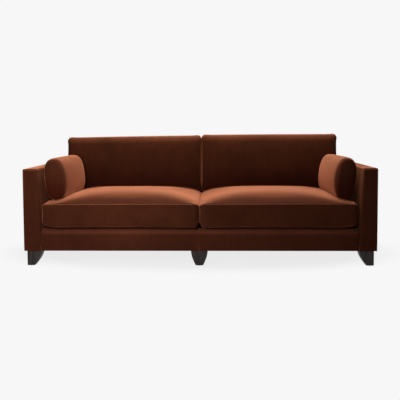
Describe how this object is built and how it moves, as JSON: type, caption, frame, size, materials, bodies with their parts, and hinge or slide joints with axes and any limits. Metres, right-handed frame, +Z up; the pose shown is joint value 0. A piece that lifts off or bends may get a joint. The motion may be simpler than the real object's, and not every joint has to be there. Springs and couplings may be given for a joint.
{
  "type": "tuxedo sofa",
  "caption": "Wide low sofa in rust velvet with arms as high as its frame back, loose box seat and back cushions, oval bolsters and dark tapered legs.",
  "frame": {"origin": "on the floor, under the middle of the sofa", "axes": "+X across the width, to the right as seen from the front, +Y from the front to the back, +Z up"},
  "size_m": [2.4, 0.95, 0.8688],
  "materials": {
    "velvet": "matte",
    "frame_timber": "matte",
    "panel_board": "matte",
    "spring_steel": "satin",
    "bolt_steel": "satin",
    "webbing": "matte",
    "foam": "matte",
    "fibre": "matte",
    "felt": "matte",
    "lining_cloth": "matte",
    "leg_timber": "satin",
    "glide_plastic": "matte"
  },
  "bodies": {
    "frame": {"front_rail": "frame_timber", "back_rail": "frame_timber", "seat_rail_rear": "frame_timber", "side_rail_left": "frame_timber", "side_rail_right": "frame_timber", "centre_rail": "frame_timber", "arm_post_front_left": "frame_timber", "arm_post_front_right": "frame_timber", "arm_post_rear_left": "frame_timber", "arm_post_rear_right": "frame_timber", "arm_top_rail_left": "frame_timber", "arm_top_rail_right": "frame_timber", "back_top_rail": "frame_timber", "back_uprights": "frame_timber", "corner_blocks": "frame_timber", "arm_outer_board_left": "panel_board", "arm_outer_board_right": "panel_board", "arm_inner_board_left": "panel_board", "arm_inner_board_right": "panel_board", "arm_facing_left": "panel_board", "arm_facing_right": "panel_board", "back_outer_board": "panel_board", "springs_left": "spring_steel", "springs_right": "spring_steel", "spring_clips": "spring_steel", "back_webbing": "webbing", "arm_pad_left": "foam", "arm_pad_right": "foam", "back_pad": "foam", "border_pad": "foam", "deck_pad": "felt", "arm_cover_left": "velvet", "arm_cover_right": "velvet", "back_cover_inside": "velvet", "back_cover_outside": "velvet", "border_cover": "velvet", "deck_cloth": "lining_cloth", "dust_cover": "lining_cloth", "leg_front_left": "leg_timber", "leg_front_centre": "leg_timber", "leg_front_right": "leg_timber", "leg_back_left": "leg_timber", "leg_back_centre": "leg_timber", "leg_back_right": "leg_timber", "leg_bolts": "bolt_steel", "glides": "glide_plastic"},
    "seat_cushion_body_left": {"seat_cushion_left": "velvet", "seat_foam_left": "foam"},
    "back_cushion_body_left": {"back_cushion_left": "velvet", "back_fill_left": "fibre"},
    "bolster_body_left": {"bolster_left": "velvet", "bolster_fill_left": "fibre"},
    "seat_cushion_body_right": {"seat_cushion_right": "velvet", "seat_foam_right": "foam"},
    "back_cushion_body_right": {"back_cushion_right": "velvet", "back_fill_right": "fibre"},
    "bolster_body_right": {"bolster_right": "velvet", "bolster_fill_right": "fibre"}
  },
  "joints": [
    {"name": "seat_cushion_lift_left", "type": "slide", "parent": "frame", "child": "seat_cushion_body_left", "axis": [0, 0, 1], "range_m": [0, 0.25]},
    {"name": "back_cushion_lift_left", "type": "slide", "parent": "seat_cushion_body_left", "child": "back_cushion_body_left", "axis": [0, 0, 1], "range_m": [0, 0.3]},
    {"name": "bolster_lift_left", "type": "slide", "parent": "seat_cushion_body_left", "child": "bolster_body_left", "axis": [0, 0, 1], "range_m": [0, 0.3]},
    {"name": "seat_cushion_lift_right", "type": "slide", "parent": "frame", "child": "seat_cushion_body_right", "axis": [0, 0, 1], "range_m": [0, 0.25]},
    {"name": "back_cushion_lift_right", "type": "slide", "parent": "seat_cushion_body_right", "child": "back_cushion_body_right", "axis": [0, 0, 1], "range_m": [0, 0.3]},
    {"name": "bolster_lift_right", "type": "slide", "parent": "seat_cushion_body_right", "child": "bolster_body_right", "axis": [0, 0, 1], "range_m": [0, 0.3]}
  ]
}
